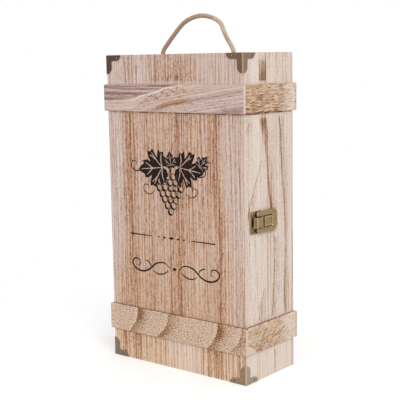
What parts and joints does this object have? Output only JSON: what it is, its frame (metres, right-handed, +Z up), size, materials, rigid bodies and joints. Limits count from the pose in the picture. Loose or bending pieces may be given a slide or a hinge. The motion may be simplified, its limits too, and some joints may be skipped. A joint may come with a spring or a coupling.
{
  "type": "wooden wine box",
  "caption": "Upright wooden box for wine bottles with a side-hinged shallow lid, bands of battens, metal corner protectors, a toggle latch and a rope handle on top.",
  "frame": {"origin": "centre of the box's underside, below the middle of its width and depth without the battens", "axes": "+Z up, -Y towards the front panel, +X towards the latch side"},
  "size_m": [0.2044, 0.096, 0.3941],
  "materials": {
    "panel_wood": "lightly torched and brushed, straight upright grain",
    "side_wood": "lightly torched and brushed, wide cathedral grain",
    "end_wood": "sanded",
    "inner_wood": "sanded",
    "batten_wood": "torched and brushed, grain along the batten",
    "guard_metal": "dark antique bronze plating, worn on the folds",
    "nail_metal": "antique bronze plating, worn on the domes",
    "hinge_metal": "antique bronze plating",
    "latch_metal": "antique bronze plating, worn along the edges",
    "pin_metal": "antique bronze plating, polished by use",
    "screw_metal": "antique bronze plating",
    "rope": "laid natural fibre"
  },
  "bodies": {
    "base": {"back_panel": "panel_wood", "base_side_left": "side_wood", "base_side_right": "side_wood", "top_board": "end_wood", "bottom_board": "end_wood", "divider": "inner_wood", "back_batten_top": "batten_wood", "back_batten_bottom": "batten_wood", "base_batten_left_top": "batten_wood", "base_batten_left_bottom": "batten_wood", "base_batten_right_top": "batten_wood", "base_batten_right_bottom": "batten_wood", "hinge_leaf_base_top": "hinge_metal", "hinge_leaf_base_bottom": "hinge_metal", "hinge_pin_top": "pin_metal", "hinge_pin_bottom": "pin_metal", "hinge_screws_base": "screw_metal", "strike_plate": "latch_metal", "strike_screws": "screw_metal", "rope_ends": "rope"},
    "lid": {"front_panel": "panel_wood", "lid_side_left": "side_wood", "lid_side_right": "side_wood", "lid_top_board": "end_wood", "lid_bottom_board": "end_wood", "front_batten_top": "batten_wood", "front_batten_bottom": "batten_wood", "lid_batten_left_top": "batten_wood", "lid_batten_left_bottom": "batten_wood", "lid_batten_right_top": "batten_wood", "lid_batten_right_bottom": "batten_wood", "guard_top_left": "guard_metal", "guard_top_right": "guard_metal", "guard_bottom_left": "guard_metal", "guard_bottom_right": "guard_metal", "guard_nails": "nail_metal", "hinge_leaf_lid_top": "hinge_metal", "hinge_leaf_lid_bottom": "hinge_metal", "hinge_screws_lid": "screw_metal", "latch_plate": "latch_metal", "latch_plate_screws": "screw_metal", "latch_pivot_pin": "pin_metal"},
    "lever": {"latch_lever": "latch_metal", "bail_pin": "pin_metal"},
    "bail": {"latch_bail": "latch_metal"},
    "handle": {"rope_loop": "rope"}
  },
  "joints": [
    {"name": "lid_hinge", "type": "hinge", "parent": "base", "child": "lid", "pos_m": [-0.0994, -0.016, 0.175], "axis": [0, 0, -1], "range_deg": [0, 175]},
    {"name": "latch_lever", "type": "hinge", "parent": "lid", "child": "lever", "pos_m": [0.0991, -0.018, 0.173], "axis": [0, 0, 1], "range_deg": [0, 120]},
    {"name": "latch_bail", "type": "hinge", "parent": "lever", "child": "bail", "pos_m": [0.0985, -0.0254, 0.173], "axis": [0, 0, 1], "range_deg": [-145, 0]},
    {"name": "handle_swing", "type": "hinge", "parent": "base", "child": "handle", "pos_m": [0, 0, 0.353], "axis": [1, 0, 0], "range_deg": [-80, 80], "stiffness_Nm_per_rad": 0.01}
  ],
  "couplings": [
    {"joint": "latch_bail", "follows": "latch_lever", "ratio": -1.2}
  ]
}
